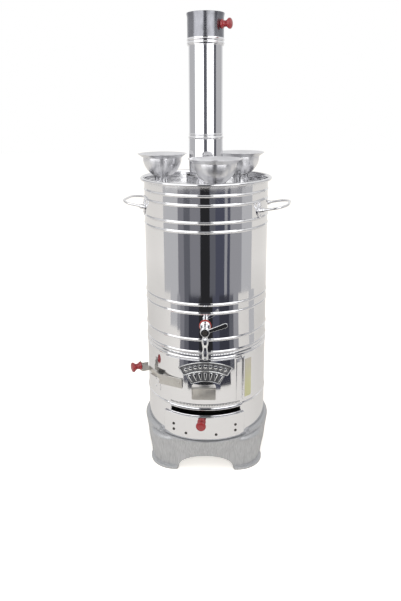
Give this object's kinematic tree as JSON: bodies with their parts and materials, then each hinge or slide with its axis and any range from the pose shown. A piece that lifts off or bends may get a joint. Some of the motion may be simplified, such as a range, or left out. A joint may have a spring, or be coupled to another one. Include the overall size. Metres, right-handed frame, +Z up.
{
  "type": "samovar",
  "caption": "Wood-fired samovar: drum water tank on a lobed base with a fire door, ash drawer, tap, lift-off lid with bowls, and a tall chimney.",
  "frame": {"origin": "on the drum's axis, at the level of the feet's undersides", "axes": "+Z up along the drum and the chimney; the tap and the fire door face -Y; +X is to the right as one faces the tap"},
  "size_m": [0.4832, 0.4171, 1.261],
  "materials": {
    "polished_steel": "mirror-polished stainless steel",
    "satin_steel": "satin stainless steel",
    "galvanised": "bare galvanised sheet, matt",
    "cast_aluminium": "cast and brushed, satin",
    "cast_iron": "raw casting",
    "chrome": "bright plated brass and steel",
    "red_plastic": "glossy moulded",
    "red_fibre": "pressed sealing washer",
    "label": "bare pale yellow-green sticker"
  },
  "bodies": {
    "body": {"base_casting": "cast_aluminium", "base_screws": "galvanised", "drum_floor": "galvanised", "firebox_shell": "polished_steel", "air_slot_hood": "polished_steel", "grate_ring": "galvanised", "fire_grate": "cast_iron", "runner_left": "galvanised", "runner_right": "galvanised", "tank_floor": "satin_steel", "flue_tube": "satin_steel", "tank_shell": "polished_steel", "lid_seat_ring": "satin_steel", "tap_body": "chrome", "tap_washer": "red_fibre", "tap_seal": "red_fibre", "tap_backnut": "chrome", "tap_gland": "chrome", "handle_bar_left": "satin_steel", "handle_bar_right": "satin_steel", "handle_bracket_left_a": "satin_steel", "handle_bracket_left_b": "satin_steel", "handle_bracket_right_a": "satin_steel", "handle_bracket_right_b": "satin_steel", "handle_rivets": "satin_steel", "hinge_leaf_fixed": "satin_steel", "hinge_pin": "satin_steel", "latch_keeper": "satin_steel", "keeper_rivets": "satin_steel", "label_plate": "label"},
    "chimney": {"chimney_pipe": "satin_steel", "chimney_top": "galvanised", "chimney_knob": "red_plastic", "chimney_knob_screw": "galvanised"},
    "lid": {"lid": "satin_steel", "lid_collar": "satin_steel"},
    "bowl_front": {"bowl_front": "satin_steel"},
    "bowl_right": {"bowl_right": "satin_steel"},
    "bowl_left": {"bowl_left": "satin_steel"},
    "door": {"door_panel": "polished_steel", "hinge_leaf_door": "satin_steel", "door_badge": "chrome", "flap_frame": "galvanised", "flap_pin": "galvanised", "latch_rivet": "galvanised"},
    "latch": {"latch_lever": "galvanised", "latch_knob": "red_plastic", "latch_knob_screw": "galvanised"},
    "flap": {"draught_flap": "galvanised"},
    "drawer": {"drawer_tray": "galvanised", "drawer_front": "polished_steel", "drawer_rivets": "satin_steel", "drawer_knob": "red_plastic", "drawer_knob_screw": "galvanised"},
    "tap_key": {"tap_plug": "chrome", "tap_lever": "chrome", "tap_screw": "chrome"}
  },
  "joints": [
    {"name": "chimney_lift", "type": "slide", "parent": "body", "child": "chimney", "axis": [0, 0, 1], "range_m": [0, 0.12]},
    {"name": "lid_lift", "type": "slide", "parent": "body", "child": "lid", "axis": [0, 0, 1], "range_m": [0, 0.1]},
    {"name": "bowl_front_lift", "type": "slide", "parent": "lid", "child": "bowl_front", "axis": [0, 0, 1], "range_m": [0, 0.08]},
    {"name": "bowl_right_lift", "type": "slide", "parent": "lid", "child": "bowl_right", "axis": [0, 0, 1], "range_m": [0, 0.08]},
    {"name": "bowl_left_lift", "type": "slide", "parent": "lid", "child": "bowl_left", "axis": [0, 0, 1], "range_m": [0, 0.08]},
    {"name": "door_swing", "type": "hinge", "parent": "body", "child": "door", "pos_m": [0.10527, -0.1465, 0.2785], "axis": [0, 0, 1], "range_deg": [0, 110]},
    {"name": "latch_lift", "type": "hinge", "parent": "door", "child": "latch", "pos_m": [-0.07607, -0.16314, 0.271], "axis": [0.4226, 0.9063, 0], "range_deg": [0, 16]},
    {"name": "flap_swing", "type": "hinge", "parent": "door", "child": "flap", "pos_m": [-0.00481, -0.18369, 0.264], "axis": [-0.9997, 0.0262, 0], "range_deg": [0, 80]},
    {"name": "drawer_slide", "type": "slide", "parent": "body", "child": "drawer", "axis": [0, -1, 0], "range_m": [0, 0.16]},
    {"name": "tap_turn", "type": "hinge", "parent": "body", "child": "tap_key", "pos_m": [0, -0.203, 0.445], "axis": [0, -1, 0], "range_deg": [0, 90]}
  ]
}
